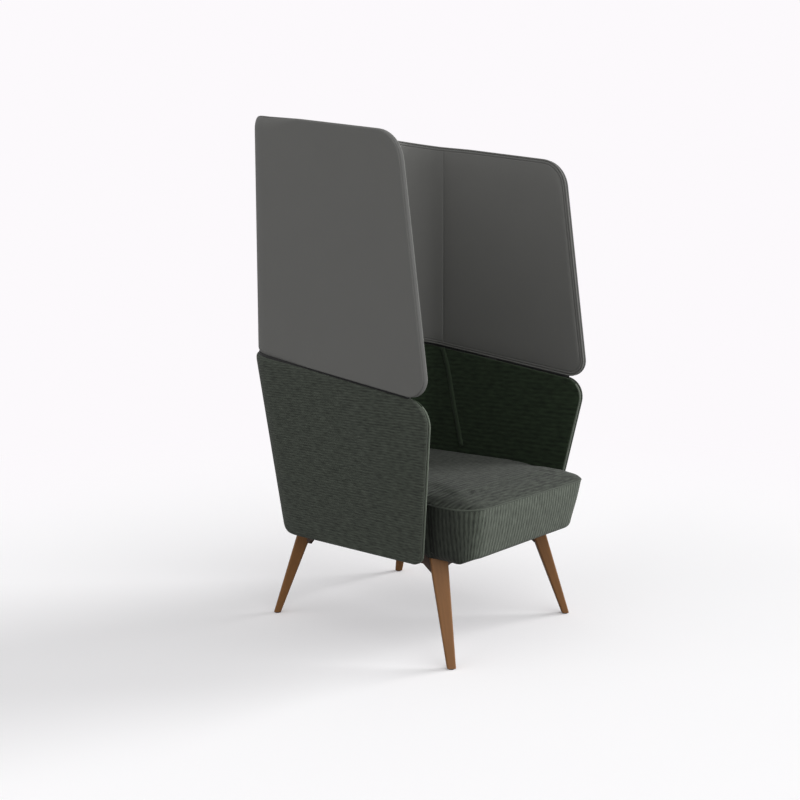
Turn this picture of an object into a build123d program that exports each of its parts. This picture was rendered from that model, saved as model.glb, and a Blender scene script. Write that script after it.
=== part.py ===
"""Acoustic high back lounge chair: wooden underframe, upholstered tub, U-shaped acoustic screen.

Millimetres. +Z is up, the sitter faces -Y and +X is the sitter's left. The origin is on the floor,
below the middle of the chair's outline. An "inset" is measured inwards from an outer surface.
"""

import os
from math import radians, tan

from build123d import *

os.makedirs("parts", exist_ok=True)

# ---- Driving dimensions ----------------------------------------------------------------------

# Tub: the lower U-shaped shell, which flares upwards
tub_base_height = 259.5
tub_side_flare = 7.73
tub_back_flare = 3.75
tub_base_front = -231.8
tub_front_lean = 9.45
tub_corner_radius = 118.0
tub_top_front_radius = 60.0
tub_bottom_front_radius = 30.0

# Screen: the upper U-shaped acoustic panel, with upright walls
screen_half_width = 374.3
screen_back = 357.0
screen_corner_radius = 120.0
screen_front_at_joint = -295.0
screen_front_lean = 8.12
screen_top_height = 1338.2
screen_top_slope = 10.8
screen_top_front_radius = 84.0
screen_bottom_front_radius = 44.0

# The sloping joint between tub and screen, given at the middle of the chair. The steps are how
# far the screen stands out past the tub at its sides, and the tub past the screen at the back
joint_height = 717.5
joint_slope = 8.9
joint_gap = 5.0
side_step = 2.0
back_step = 6.5

# Wall build-up, the same order in tub and screen: cover, moulded core, inner pad
core_thickness = 9.0
tub_cover_thickness = 4.0
tub_pad_thickness = 7.0
screen_cover_thickness = 3.0
screen_pad_thickness = 6.0
edge_wrap = 5.0
rim_radius = 6.0
layer_gap = 0.3

# Seat cushion
seat_base_height = 273.0
seat_seam_height = 405.0
seat_crown = 33.0
nose_front_at_seam = -360.0
nose_front_at_base = -333.0
nose_side_step = 53.8
nose_side_flare = 7.73
nose_corner_radius = 58.0
nose_end = -228.0
shoulder_start = -154.0
shoulder_radius = 45.0
cushion_gap = 1.0
cover_thickness = 2.6
piping_radius = 3.0
piping_proud = 0.5
# The crown in steps: share of its rise, and how many rises its outline is drawn in there
crown_steps = ((0.0, 0.0), (0.42, 0.24), (0.72, 0.9), (0.9, 2.3), (1.0, 4.2))

# Seat deck and the cloth under it
deck_step = 2.5
deck_thickness = 18.0
deck_nose_setback = 26.0
dust_cloth_thickness = 1.2
dust_cloth_margin = 14.0

# Underframe
foot_side_step = 40.8  # a foot's step in from the side of the tub's base
foot_back_step = 7.5  # a rear foot's step out from the back of the tub's base
front_foot = -300.0
leg_splay_out = 9.9
leg_splay_forward = 17.0
leg_splay_back = 17.2
leg_top_width = 46.5
leg_top_depth = 41.0
leg_foot_width = 22.5
leg_foot_depth = 20.0
leg_edge_radius = 5.0
glide_radius = 8.0
glide_thickness = 3.0
rail_height = 24.0
rail_thickness = 22.0
haunch_drop = 30.0
haunch_length = 42.0
front_haunch_drop = 9.0
front_haunch_length = 24.0

# Fasteners: a screw's head is sized by shares of its shank's radius
hole_clearance = 0.2
head_radius_share = 1.85
head_height_share = 0.8
leg_screw_radius = 3.5
leg_screw_length = 60.0
rail_screw_radius = 2.5
rail_screw_length = 36.0
rail_screw_pitch = 260.0
tub_screw_radius = 2.2
tub_screw_length = 32.0
tub_screw_sink = 1.0
tub_screw_pitch = 220.0

# Steel straps that carry the screen on the tub, against the inner faces of both cores
strap_width = 42.0
strap_thickness = 2.5
pocket_spare = 1.0
strap_reach = 84.0
strap_side_place = 36.0
strap_screw_radius = 2.0
strap_screw_length = 9.5
strap_screw_edge = 20.0
strap_screw_pitch = 44.0

# ---- Values worked out from them -------------------------------------------------------------

deck_bottom = tub_base_height + deck_step
deck_top = deck_bottom + deck_thickness
tub_wall = tub_cover_thickness + core_thickness + tub_pad_thickness
screen_wall = screen_cover_thickness + core_thickness + screen_pad_thickness
joint_rise = tan(radians(joint_slope))
top_rise = tan(radians(screen_top_slope))
tub_rise = joint_height - joint_gap - tub_base_height
tub_base_half_width = screen_half_width - side_step - tub_rise * tan(radians(tub_side_flare))
tub_back_rise = tub_rise + joint_rise * screen_back
tub_base_back = screen_back + back_step - tub_back_rise * tan(radians(tub_back_flare))
foot_half_width = tub_base_half_width - foot_side_step
rear_foot = tub_base_back + foot_back_step
nose_half_width_at_base = tub_base_half_width - nose_side_step
seat_side = (seat_seam_height - seat_base_height) * tan(radians(nose_side_flare))
nose_half_width_at_seam = nose_half_width_at_base + seat_side
rim_faces = 8  # a wall's rim: its top, its base, and an edge between two curves at each front
beyond = 60.0  # how far a cutting shape runs past what it cuts


def flared(base, angle, height):
    """A size that grows from its value at the tub's base with the height above it."""
    return base + (height - tub_base_height) * tan(radians(angle))


def joint_at(y):
    """Height of the screen's lower edge over the depth position y."""
    return joint_height + joint_rise * y


def top_at(y):
    """Height of the screen's top edge over the depth position y."""
    return screen_top_height + top_rise * y


def crossing(front_at_floor, front_rate, edge_height, edge_rise):
    """Where a leaning front edge meets a sloping edge, both seen from the side."""
    z = (edge_height + edge_rise * front_at_floor) / (1 - edge_rise * front_rate)
    return (front_at_floor + front_rate * z, z)


# ---- Walls -----------------------------------------------------------------------------------


def wall_block(half_width, side_flare, back, back_flare, corner, low, high):
    """A solid block with one wall's outer faces, open-ended to the front. Sizes are at its low end."""
    rise = high - low
    grown = half_width + rise * tan(radians(side_flare))
    grown_back = back + rise * tan(radians(back_flare))
    front = min(tub_base_front, screen_front_at_joint) - 3 * beyond
    with BuildPart() as block:
        with BuildSketch(Plane.XZ) as across_section:
            with BuildLine():
                Polyline((-half_width, low), (half_width, low), (grown, high), (-grown, high), close=True)
            make_face()
        extrude(amount=grown_back + beyond - front, both=True)
        with BuildSketch(Plane.YZ) as along_section:
            with BuildLine():
                Polyline((front, low), (back, low), (grown_back, high), (front, high), close=True)
            make_face()
        extrude(amount=grown + beyond, both=True, mode=Mode.INTERSECT)
        rear_edges = block.faces().sort_by(Axis.Y)[-1].edges().sort_by(Axis.X)
        fillet([rear_edges[0], rear_edges[-1]], radius=corner)
    return block.part


def tub_block(inset):
    """The flaring tub's block, drawn in by an inset."""
    low = tub_base_height - beyond
    return wall_block(
        flared(tub_base_half_width, tub_side_flare, low) - inset,
        tub_side_flare,
        flared(tub_base_back, tub_back_flare, low) - inset,
        tub_back_flare,
        tub_corner_radius - inset,
        low,
        joint_at(screen_back) + beyond,
    )


def screen_block(inset):
    """The upright screen's block, drawn in by an inset."""
    low = joint_at(screen_front_at_joint) - beyond
    high = top_at(screen_back) + beyond
    wide = screen_half_width - inset
    return wall_block(wide, 0, screen_back - inset, 0, screen_corner_radius - inset, low, high)


def tub_layer(outer_inset, inner_inset):
    """A layer of the flaring tub wall, not yet cut to its side outline."""
    add(tub_block(outer_inset))
    add(tub_block(inner_inset), mode=Mode.SUBTRACT)


def screen_layer(outer_inset, inner_inset):
    """A layer of the upright screen wall, not yet cut to its side outline."""
    add(screen_block(outer_inset))
    add(screen_block(inner_inset), mode=Mode.SUBTRACT)


def side_outline(corners, radii, inset):
    """A wall's outline seen from the side, with rounded front corners, drawn in by an inset."""
    with BuildSketch(Plane.YZ) as outline:
        with BuildLine():
            Polyline(*corners, close=True)
        make_face()
        for corner, radius in zip(corners, radii):
            fillet(outline.vertices().sort_by_distance((*corner, 0))[0], radius)
        if inset:
            offset(amount=-inset, kind=Kind.INTERSECTION)
    return outline.sketch


def tub_outline(inset):
    """The tub's side outline: level base, leaning front edge, sloping top below the joint."""
    rate = -tan(radians(tub_front_lean))
    front_at_floor = tub_base_front - rate * tub_base_height
    top = crossing(front_at_floor, rate, joint_height - joint_gap, joint_rise)
    rear = screen_back + 2 * beyond
    corners = (
        top,
        (tub_base_front, tub_base_height),
        (rear, tub_base_height),
        (rear, joint_at(rear) - joint_gap),
    )
    return side_outline(corners, (tub_top_front_radius, tub_bottom_front_radius), inset)


def screen_outline(inset):
    """The screen's side outline: front edge leaning back between the joint and the sloping top."""
    rate = tan(radians(screen_front_lean))
    front_at_floor = screen_front_at_joint - rate * joint_height
    bottom = crossing(front_at_floor, rate, joint_height, joint_rise)
    top = crossing(front_at_floor, rate, screen_top_height, top_rise)
    rear = screen_back + 2 * beyond
    corners = (top, bottom, (rear, joint_at(rear)), (rear, top_at(rear)))
    return side_outline(corners, (screen_top_front_radius, screen_bottom_front_radius), inset)


def across(outline, mode):
    """Run a side outline through the whole width of the chair."""
    extrude(outline, amount=screen_half_width + beyond, both=True, mode=mode)


def rounded_wall(layer, outline, wall):
    """A whole wall with its rims rounded over, from which its cover or its edge band is cut."""
    layer(0, wall)
    across(outline(0), Mode.INTERSECT)
    by_size = faces().sort_by(SortBy.AREA)
    fillet(by_size[:rim_faces].edges() & by_size[rim_faces:].edges(), rim_radius)


# ---- Seat outlines ---------------------------------------------------------------------------


def at_seat(at_base, at_seam, height):
    """A seat size between its value at the base and at the seam."""
    share = (height - seat_base_height) / (seat_seam_height - seat_base_height)
    return at_base + (at_seam - at_base) * share


def seat_outline(height, nose_inset, wall_inset, plane_height=None):
    """A plan that follows the cushion: a narrower nose, then shoulders that reach the tub's wall."""
    nose = at_seat(nose_half_width_at_base, nose_half_width_at_seam, height) - nose_inset
    front = at_seat(nose_front_at_base, nose_front_at_seam, height) + nose_inset
    wide = flared(tub_base_half_width, tub_side_flare, height) - wall_inset
    rear = flared(tub_base_back, tub_back_flare, height) - wall_inset
    rear_radius = max(tub_corner_radius - wall_inset, shoulder_radius / 2)
    front_radius = nose_corner_radius - nose_inset / 3
    flare = [(nose, nose_end + nose_inset), (wide, shoulder_start + nose_inset)]
    right = [(nose, front), *flare, (wide, rear)]
    left = [(-x, y) for x, y in reversed(right)]
    half_radii = [front_radius, shoulder_radius, shoulder_radius, rear_radius]
    with BuildSketch(Plane.XY.offset(height if plane_height is None else plane_height)) as plan:
        with BuildLine():
            FilletPolyline(*right, *left, radius=half_radii + half_radii[::-1], close=True)
        make_face()
    return plan.sketch


def cushion_outline(height, inset, plane_height=None):
    """The cushion's own plan, which keeps its gap to the tub."""
    return seat_outline(height, inset, tub_wall + cushion_gap + inset, plane_height)


def cushion_block(low, high, inset, mode=Mode.ADD):
    """The cushion's body between two heights, drawn in by an inset."""
    sections = [cushion_outline(low, inset), cushion_outline(high, inset)]
    loft(sections=sections, ruled=True, mode=mode)


def cushion_dome(low, inset, lowered, mode=Mode.ADD):
    """The crowned top from the seam up: each section is further in and rises less."""
    sections = []
    for rise, drawn_in in crown_steps:
        height = low + (seat_seam_height + seat_crown - lowered - low) * rise
        sections.append(cushion_outline(seat_seam_height, inset + drawn_in * seat_crown, height))
    loft(sections=sections, ruled=True, mode=mode)


def deck_block(low, high, spare, mode=Mode.ADD):
    """The seat deck's body between two heights, which reaches the core that is screwed to it."""
    reach = tub_cover_thickness + core_thickness + layer_gap - spare
    plan = seat_outline(deck_bottom, deck_nose_setback - spare, reach, low)
    extrude(plan, amount=high - low, mode=mode)


# ---- Underframe values -----------------------------------------------------------------------

# Each leg: side (+1 left), end (-1 front), its foot's depth position and its splay
leg_places = {
    "front_left": (1, -1, front_foot, leg_splay_forward),
    "front_right": (-1, -1, front_foot, leg_splay_forward),
    "rear_left": (1, 1, rear_foot, leg_splay_back),
    "rear_right": (-1, 1, rear_foot, leg_splay_back),
}


def leg_centre(place, height):
    """A leg's axis at a height: it runs inwards and towards the middle as it rises."""
    side, end, foot, splay = leg_places[place]
    rise = height - glide_thickness
    x = foot_half_width - rise * tan(radians(leg_splay_out))
    return (side * x, foot - end * rise * tan(radians(splay)))


def leg_section(place, height, width, depth):
    """A rounded section set on the diagonal, its broad face to the chair's corner."""
    side, end = leg_places[place][:2]
    with BuildSketch(Plane.XY.offset(height)) as section:
        with Locations(leg_centre(place, height)):
            RectangleRounded(width, depth, leg_edge_radius, rotation=-45 * side * end)
    return section.sketch


def leg_body(place, mode=Mode.ADD):
    """A tapered leg between its glide and the deck."""
    foot = leg_section(place, glide_thickness, leg_foot_width, leg_foot_depth)
    head = leg_section(place, deck_bottom, leg_top_width, leg_top_depth)
    loft(sections=[foot, head], ruled=True, mode=mode)


rail_bottom = deck_bottom - rail_height
rail_x, rail_front = leg_centre("front_left", deck_bottom - rail_height / 2)
rail_rear = leg_centre("rear_left", deck_bottom - rail_height / 2)[1]
rail_middle = (rail_front + rail_rear) / 2


def rail_face(plane, start, end, drop, length):
    """A rail's face between two leg axes, deeper at its haunched ends."""
    with BuildSketch(plane) as face:
        with BuildLine():
            Polyline(
                (start, rail_bottom - drop),
                (start, deck_bottom),
                (end, deck_bottom),
                (end, rail_bottom - drop),
                (end - length, rail_bottom),
                (start + length, rail_bottom),
                close=True,
            )
        make_face()
    return face.sketch


# ---- Fasteners -------------------------------------------------------------------------------


def screw(plane, radius, length, spare=0.0, mode=Mode.ADD):
    """A screw with a flat head, driven along the plane's normal, or the hole it sits in."""
    head_height = radius * head_height_share
    start = plane.offset(-head_height) if spare else plane
    for size, depth in ((radius * head_radius_share, head_height), (radius, length)):
        with BuildSketch(start) as end:
            Circle(size + spare)
        extrude(end.sketch, amount=depth + (head_height if spare else 0), mode=mode)


def leg_screws(spare=0.0, mode=Mode.ADD):
    """The screws from the deck's top down into the legs, or their holes."""
    for place in leg_places:
        x, y = leg_centre(place, deck_bottom)
        top = Plane((x, y, deck_top), z_dir=(0, 0, -1))
        screw(top, leg_screw_radius, leg_screw_length, spare, mode)


def rail_screws(spare=0.0, mode=Mode.ADD):
    """The screws from under the side rails up into the deck, or their holes."""
    for side in (-1, 1):
        for end in (-1, 1):
            place = (side * rail_x, rail_middle + end * rail_screw_pitch / 2, rail_bottom)
            screw(Plane(place, z_dir=(0, 0, 1)), rail_screw_radius, rail_screw_length, spare, mode)


def tub_screws(spare=0.0, mode=Mode.ADD):
    """The screws through the tub's core into the edge of the deck, or their holes."""
    z = (deck_bottom + deck_top) / 2
    wide = flared(tub_base_half_width, tub_side_flare, z) - tub_cover_thickness - tub_screw_sink
    rear = flared(tub_base_back, tub_back_flare, z) - tub_cover_thickness - tub_screw_sink
    for along in (-tub_screw_pitch / 2, tub_screw_pitch / 2):
        for place, inwards in (
            ((wide, rail_middle + along, z), (-1, 0, 0)),
            ((-wide, rail_middle + along, z), (1, 0, 0)),
            ((along, rear, z), (0, -1, 0)),
        ):
            screw(Plane(place, z_dir=inwards), tub_screw_radius, tub_screw_length, spare, mode)


# ---- Straps between tub and screen -----------------------------------------------------------

# The wall that each strap sits on: +1 the left one, -1 the right one, 0 the back
strap_places = {"left": 1, "right": -1, "rear": 0}
strap_head = strap_screw_radius * head_height_share


def strap_line(place, reach):
    """A strap's seat against both cores: distance from the middle and height, from low to high."""
    on_side = strap_places[place] != 0
    joint = joint_at(strap_side_place if on_side else screen_back)
    upper = screen_half_width if on_side else screen_back
    base = tub_base_half_width if on_side else tub_base_back
    flare = tub_side_flare if on_side else tub_back_flare
    tub_inset = tub_cover_thickness + core_thickness + layer_gap
    upper -= screen_cover_thickness + core_thickness + layer_gap
    slope_spare = strap_width / 2 * joint_rise
    lows = [joint - joint_gap - edge_wrap + slope_spare - step for step in (reach, 0)]
    highs = [joint + edge_wrap - slope_spare + step for step in (0, reach)]
    return [(flared(base, flare, z) - tub_inset, z) for z in lows] + [(upper, z) for z in highs]


def strap(place, spare=0.0, mode=Mode.ADD):
    """A cranked steel strap against both cores' inner faces, or the pocket round it."""
    side = strap_places[place]
    line = strap_line(place, strap_reach + spare)
    depth = strap_thickness + (strap_head + pocket_spare if spare else 0)
    outline = line + [(h - depth, z) for h, z in reversed(line)]
    plane = Plane.YZ
    if side:
        plane = Plane.XZ.offset(-strap_side_place)
        outline = [(side * h, z) for h, z in outline]
    with BuildSketch(plane) as face:
        with BuildLine():
            Polyline(*outline, close=True)
        make_face()
    extrude(face.sketch, amount=strap_width / 2 + spare, both=True, mode=mode)


def strap_screws(place, spare=0.0, mode=Mode.ADD):
    """Two screws above and two below the joint, from the strap into the cores, or their holes."""
    side = strap_places[place]
    for reach in (strap_screw_edge, strap_screw_edge + strap_screw_pitch):
        line = strap_line(place, reach)
        for h, z in (line[0], line[-1]):
            start = h - strap_thickness - strap_head
            plane = Plane((0, start, z), z_dir=(0, 1, 0))
            if side:
                plane = Plane((side * start, strap_side_place, z), z_dir=(side, 0, 0))
            screw(plane, strap_screw_radius, strap_screw_length, spare, mode)


def save(piece, name):
    """Label a finished piece and write it."""
    piece.part.label = name
    export_step(piece.part, f"parts/{name}.step")


# ==== Underframe ==============================================================================

for place in leg_places:
    with BuildPart() as leg:
        leg_body(place)
        leg_screws(hole_clearance, Mode.SUBTRACT)
    save(leg, f"leg_{place}")

with BuildPart() as glides:
    for place in leg_places:
        with BuildSketch(Plane.XY) as foot:
            with Locations(leg_centre(place, glide_thickness)):
                Circle(glide_radius)
        extrude(foot.sketch, amount=glide_thickness)
save(glides, "foot_glides")

for side, name in ((1, "left"), (-1, "right")):
    with BuildPart() as side_rail:
        plane = Plane.YZ.offset(side * rail_x)
        face = rail_face(plane, rail_front, rail_rear, haunch_drop, haunch_length)
        extrude(face, amount=rail_thickness / 2, both=True)
        for place in (f"front_{name}", f"rear_{name}"):
            leg_body(place, Mode.SUBTRACT)
        rail_screws(hole_clearance, Mode.SUBTRACT)
    save(side_rail, f"side_rail_{name}")

for depth, name, drop, length in (
    (rail_front, "front", front_haunch_drop, front_haunch_length),
    (rail_rear, "rear", haunch_drop, haunch_length),
):
    with BuildPart() as cross_rail:
        half_length = rail_x - rail_thickness / 2 - layer_gap
        face = rail_face(Plane.XZ.offset(-depth), -half_length, half_length, drop, length)
        extrude(face, amount=rail_thickness / 2, both=True)
        for place in (f"{name}_left", f"{name}_right"):
            leg_body(place, Mode.SUBTRACT)
    save(cross_rail, f"{name}_rail")

with BuildPart() as leg_fixings:
    leg_screws()
save(leg_fixings, "leg_screws")

with BuildPart() as rail_fixings:
    rail_screws()
save(rail_fixings, "rail_screws")

# ==== Seat ====================================================================================

with BuildPart() as deck:
    deck_block(deck_bottom, deck_top, 0)
    leg_screws(hole_clearance, Mode.SUBTRACT)
    rail_screws(hole_clearance, Mode.SUBTRACT)
    tub_screws(hole_clearance, Mode.SUBTRACT)
save(deck, "seat_deck")

with BuildPart() as dust_cloth:
    width = 2 * (rail_x - rail_thickness / 2 - dust_cloth_margin)
    depth = rail_rear - rail_front - rail_thickness - 2 * dust_cloth_margin
    cloth_plane = Plane((0, rail_middle, deck_bottom - layer_gap), z_dir=(0, 0, -1))
    with BuildSketch(cloth_plane):
        RectangleRounded(width, depth, dust_cloth_margin)
    extrude(amount=dust_cloth_thickness)
save(dust_cloth, "dust_cloth")

foam_inset = cover_thickness + layer_gap
with BuildPart() as seat_foam:
    cushion_block(deck_top + layer_gap, seat_seam_height, foam_inset)
    cushion_dome(seat_seam_height, foam_inset, foam_inset)
save(seat_foam, "seat_foam")

with BuildPart() as seat_band:
    cushion_block(seat_base_height, seat_seam_height - piping_radius - layer_gap, 0)
    cushion_block(seat_base_height - beyond, seat_seam_height + beyond, cover_thickness, Mode.SUBTRACT)
    deck_block(seat_base_height - beyond, deck_top + layer_gap, layer_gap, Mode.SUBTRACT)
save(seat_band, "seat_band_cover")

with BuildPart() as seat_top:
    cushion_dome(seat_seam_height + piping_radius + layer_gap, 0, 0)
    cushion_dome(seat_seam_height, cover_thickness, cover_thickness, Mode.SUBTRACT)
save(seat_top, "seat_top_cover")

# The cord piping runs round the cushion's nose, from one shoulder to the other
with BuildPart() as seam_piping:
    nose = nose_half_width_at_seam + piping_proud
    front = nose_front_at_seam - piping_proud
    end = nose_end - shoulder_radius / 2
    with BuildLine(Plane.XY.offset(seat_seam_height)) as path:
        FilletPolyline((nose, end), (nose, front), (-nose, front), (-nose, end), radius=nose_corner_radius)
    with BuildSketch(Plane(path.line @ 0, z_dir=path.line % 0)) as section:
        Circle(piping_radius)
    sweep(section.sketch, path=path.line)
save(seam_piping, "seat_seam_piping")

# ==== Tub =====================================================================================

core_outer = tub_cover_thickness
core_inner = tub_cover_thickness + core_thickness
with BuildPart() as tub_core:
    tub_layer(core_outer, core_inner)
    across(tub_outline(edge_wrap), Mode.INTERSECT)
    tub_screws(hole_clearance, Mode.SUBTRACT)
    for place in strap_places:
        strap_screws(place, hole_clearance, Mode.SUBTRACT)
save(tub_core, "tub_core")

with BuildPart() as tub_cover:
    tub_layer(0, core_outer - layer_gap)
    across(tub_outline(edge_wrap), Mode.INTERSECT)
save(tub_cover, "tub_outer_cover")

with BuildPart() as tub_pad:
    tub_layer(core_inner + layer_gap, tub_wall)
    across(tub_outline(edge_wrap), Mode.INTERSECT)
    lean_spare = layer_gap + deck_thickness * tan(radians(tub_side_flare))
    deck_block(tub_base_height - beyond, deck_top + layer_gap, lean_spare, Mode.SUBTRACT)
    for place in strap_places:
        strap(place, layer_gap, Mode.SUBTRACT)
save(tub_pad, "tub_inner_pad")

with BuildPart() as tub_edging:
    rounded_wall(tub_layer, tub_outline, tub_wall)
    across(tub_outline(edge_wrap - layer_gap), Mode.SUBTRACT)
    deck_block(tub_base_height - beyond, deck_top + layer_gap, layer_gap, Mode.SUBTRACT)
    for place in strap_places:
        strap(place, layer_gap, Mode.SUBTRACT)
save(tub_edging, "tub_edge_band")

with BuildPart() as tub_fixings:
    tub_screws()
save(tub_fixings, "tub_screws")

# ==== Screen ==================================================================================

board_outer = screen_cover_thickness
board_inner = screen_cover_thickness + core_thickness
with BuildPart() as screen_core:
    screen_layer(board_outer, board_inner)
    across(screen_outline(edge_wrap), Mode.INTERSECT)
    for place in strap_places:
        strap_screws(place, hole_clearance, Mode.SUBTRACT)
save(screen_core, "screen_core")

with BuildPart() as screen_hollow:
    screen_layer(board_outer - layer_gap, screen_wall + edge_wrap)
    across(screen_outline(edge_wrap - layer_gap), Mode.INTERSECT)

# The outer cover wraps round the edges, so its core and pad lie in a hollow of it
with BuildPart() as screen_cover:
    rounded_wall(screen_layer, screen_outline, screen_wall)
    add(screen_hollow.part, mode=Mode.SUBTRACT)
    for place in strap_places:
        strap(place, layer_gap, Mode.SUBTRACT)
save(screen_cover, "screen_outer_cover")

with BuildPart() as screen_pad:
    screen_layer(board_inner + layer_gap, screen_wall)
    across(screen_outline(edge_wrap), Mode.INTERSECT)
    for place in strap_places:
        strap(place, layer_gap, Mode.SUBTRACT)
save(screen_pad, "screen_inner_pad")

# ==== Straps ==================================================================================

for place in strap_places:
    with BuildPart() as screen_strap:
        strap(place)
        strap_screws(place, hole_clearance, Mode.SUBTRACT)
    save(screen_strap, f"screen_strap_{place}")

with BuildPart() as strap_fixings:
    for place in strap_places:
        strap_screws(place)
save(strap_fixings, "strap_screws")
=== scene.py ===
"""Acoustic high back lounge chair: ribbed tub, tall acoustic screen, crowned seat, wooden legs.

Metres, in the frame's axes: +Z is up, the sitter faces -Y and +X is the sitter's left. A "depth" is
measured inwards from a wall's outer face, and an "inset" inwards from its outline seen from the side.
"""

import logging
import math
from collections.abc import Callable, Sequence
from dataclasses import dataclass
from enum import Enum

import bmesh
import bpy
from mathutils import Matrix, Vector


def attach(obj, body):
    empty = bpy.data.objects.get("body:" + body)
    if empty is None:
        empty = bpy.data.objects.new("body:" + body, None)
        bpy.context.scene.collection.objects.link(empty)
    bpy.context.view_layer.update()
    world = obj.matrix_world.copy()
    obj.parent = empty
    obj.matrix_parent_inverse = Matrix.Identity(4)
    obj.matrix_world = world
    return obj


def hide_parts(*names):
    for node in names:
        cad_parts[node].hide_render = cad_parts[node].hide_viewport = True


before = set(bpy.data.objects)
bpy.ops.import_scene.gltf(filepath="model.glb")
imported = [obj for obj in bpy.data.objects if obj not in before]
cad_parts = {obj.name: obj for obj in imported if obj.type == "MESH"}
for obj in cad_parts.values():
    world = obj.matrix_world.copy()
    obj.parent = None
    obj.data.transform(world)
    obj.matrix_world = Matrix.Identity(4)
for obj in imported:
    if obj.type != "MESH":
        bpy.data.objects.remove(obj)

log = logging.getLogger("lounge_chair")

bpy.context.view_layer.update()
BODY = "root"
WEAVE = "Weave"
Pair = tuple[float, float]
Triple = tuple[float, float, float]
Colour = Triple
Face = bmesh.types.BMFace
Material = bpy.types.Material
Socket = bpy.types.NodeSocket


class Slot(Enum):
    """The record's material slots."""

    LEG_WOOD = "leg_wood"
    PLYWOOD = "plywood"
    TUB_CLOTH = "tub_fabric"
    SCREEN_CLOTH = "screen_fabric"
    DUST_CLOTH = "dust_cloth"
    GLIDE = "glide_plastic"
    STRAP = "strap_steel"
    FIXING = "steel_fixings"


# ---- Finishes --------------------------------------------------------------------------------

# the colour sockets of a mixing node, whose kinds of value share their names
MIX_FACTOR, MIX_LOW, MIX_HIGH, MIX_RESULT = 0, 6, 7, 2


class NodeTree:
    """A tree of shader nodes, added and joined in short calls."""

    def __init__(self, tree: bpy.types.NodeTree) -> None:
        """Takes the tree as it is."""
        self.tree = tree

    def add(self, kind: str, inputs: dict | None = None, **settings: object) -> bpy.types.Node:
        """Adds a node.

        Args:
            kind: the node's type name.
            inputs: socket name or number to a value or an output socket.
            settings: attributes of the node itself.

        Returns:
            The new node.
        """
        node = self.tree.nodes.new(kind)
        for name, value in settings.items():
            setattr(node, name, value)
        for socket, value in (inputs or {}).items():
            self.feed(node.inputs[socket], value)
        return node

    def feed(self, socket: Socket, value: object) -> None:
        """Sets a socket to a value, or joins an output socket to it.

        Args:
            socket: the input socket.
            value: a plain value or an output socket.
        """
        if isinstance(value, Socket):
            self.tree.links.new(value, socket)
        else:
            socket.default_value = value

    def ramp(self, factor: Socket, low: Colour, high: Colour) -> Socket:
        """Blends two colours by a factor.

        Args:
            factor: the output socket that chooses between them.
            low: the colour at zero.
            high: the colour at one.

        Returns:
            The blended colour's socket.
        """
        mix = self.add("ShaderNodeMix", data_type="RGBA")
        for socket, value in ((MIX_FACTOR, factor), (MIX_LOW, (*low, 1)), (MIX_HIGH, (*high, 1))):
            self.feed(mix.inputs[socket], value)
        return mix.outputs[MIX_RESULT]

    def maths(self, operation: str, *values: object) -> Socket:
        """Adds a Math node.

        Args:
            operation: the node's operation.
            values: its operands, as values or output sockets.

        Returns:
            The result's socket.
        """
        node = self.add("ShaderNodeMath", operation=operation)
        for place, value in enumerate(values):
            self.feed(node.inputs[place], value)
        return node.outputs[0]

    def blend(self, first: Socket, second: Socket, share: float) -> Socket:
        """Mixes two numbers.

        Args:
            first: the first number's socket.
            second: the second number's socket.
            share: how much of the mix is the second.

        Returns:
            The mix's socket.
        """
        return self.maths("MULTIPLY_ADD", first, 1 - share, self.maths("MULTIPLY", second, share))

    def noise(self, place: Socket, scale: Triple, detail: float, distortion: float = 0.0) -> Socket:
        """Adds noise stretched along the axes.

        Args:
            place: the coordinates' socket.
            scale: how many marks it has to the metre along each axis.
            detail: how many finer layers it has.
            distortion: how far its marks wander.

        Returns:
            The noise's socket.
        """
        spread = self.add("ShaderNodeMapping", {"Vector": place, "Scale": scale}).outputs["Vector"]
        values = {"Vector": spread, "Scale": 1.0, "Detail": detail, "Distortion": distortion}
        return self.add("ShaderNodeTexNoise", values).outputs["Fac"]


class Surface(NodeTree):
    """A material's nodes, with short calls for its principled shader."""

    def __init__(self, name: str) -> None:
        """Starts the material.

        Args:
            name: the material's name.
        """
        self.material = bpy.data.materials.new(name)
        self.material.use_nodes = True
        super().__init__(self.material.node_tree)
        self.shader = self.tree.nodes["Principled BSDF"]

    def place(self) -> Socket:
        """The piece's own coordinates."""
        return self.add("ShaderNodeTexCoord").outputs["Object"]

    def tint(self, light: Socket, colour: Colour, contrast: float) -> Socket:
        """Varies a colour about its middle, by a share of it that is the contrast."""
        return self.ramp(light, shaded(colour, 1 - contrast), shaded(colour, 1 + contrast))

    def coat(self, colour: Socket, values: dict[str, float]) -> None:
        """Sets the shader.

        Args:
            colour: the colour's socket.
            values: the shader's sockets by name, and their values.
        """
        self.feed(self.shader.inputs["Base Color"], colour)
        for name, value in values.items():
            self.feed(self.shader.inputs[name], value)

    def cloth(self, colour: Socket, roughness: float, sheen: float) -> None:
        """Sets the shader to a soft cloth whose hairs catch the light.

        Args:
            colour: the colour's socket.
            roughness: how dull it is.
            sheen: how much its hairs catch.
        """
        hairs = {"Specular IOR Level": 0.2, "Sheen Weight": sheen, "Sheen Roughness": 0.5}
        self.coat(colour, {"Roughness": roughness, **hairs})

    def bump(self, height: Socket, distance: float, strength: float) -> None:
        """Gives the shader a bumpy surface.

        Args:
            height: the height's socket, from zero to one.
            distance: how high one stands, in metres.
            strength: how much of it shows.
        """
        node = self.add("ShaderNodeBump", {"Strength": strength, "Distance": distance, "Height": height})
        self.feed(self.shader.inputs["Normal"], node.outputs["Normal"])


def shaded(colour: Colour, share: float) -> Colour:
    """A colour made lighter or darker by a share of itself."""
    return tuple(channel * share for channel in colour)


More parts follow.
